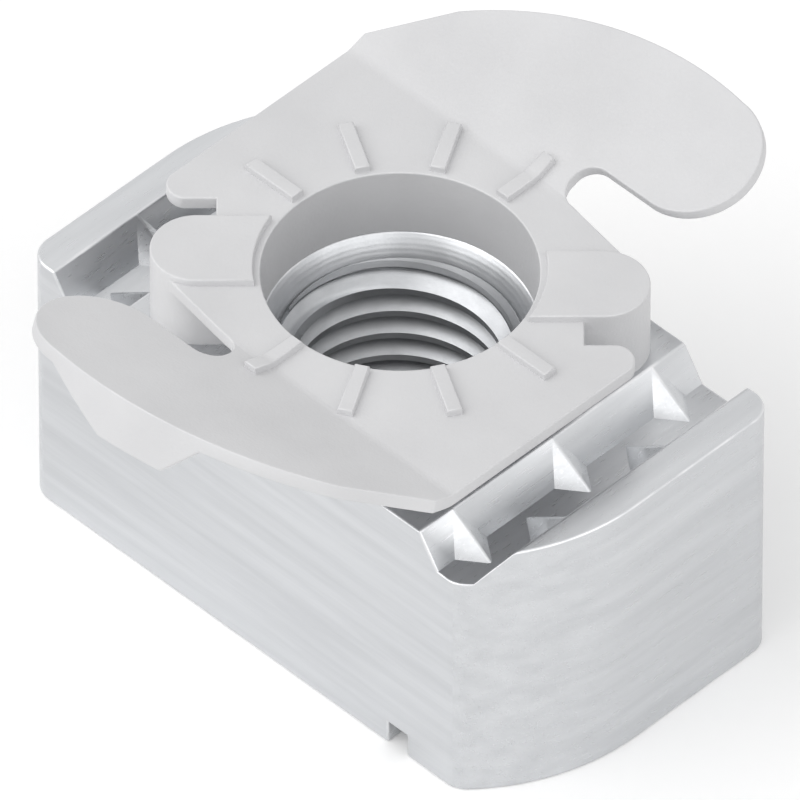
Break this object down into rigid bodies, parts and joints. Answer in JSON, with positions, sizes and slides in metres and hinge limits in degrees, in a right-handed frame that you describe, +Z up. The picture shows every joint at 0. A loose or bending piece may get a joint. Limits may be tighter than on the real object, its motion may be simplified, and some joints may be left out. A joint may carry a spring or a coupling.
{
  "type": "channel nut",
  "caption": "Toothed steel nut that grips the lips of a strut channel, with a sprung moulded retainer whose rising arms turn it and hold it in place.",
  "frame": {"origin": "middle of the nut's underside, on the bolt axis", "axes": "+Z up along the bolt; X across the channel, along the nut's length; Y along the channel, towards the arms"},
  "size_m": [0.035, 0.0396, 0.0245],
  "materials": {
    "nut_steel": "zinc plated, satin",
    "retainer_plastic": "moulded, fine matt texture"
  },
  "bodies": {
    "root": {"channel_nut": "nut_steel", "retainer": "retainer_plastic"}
  },
  "joints": []
}
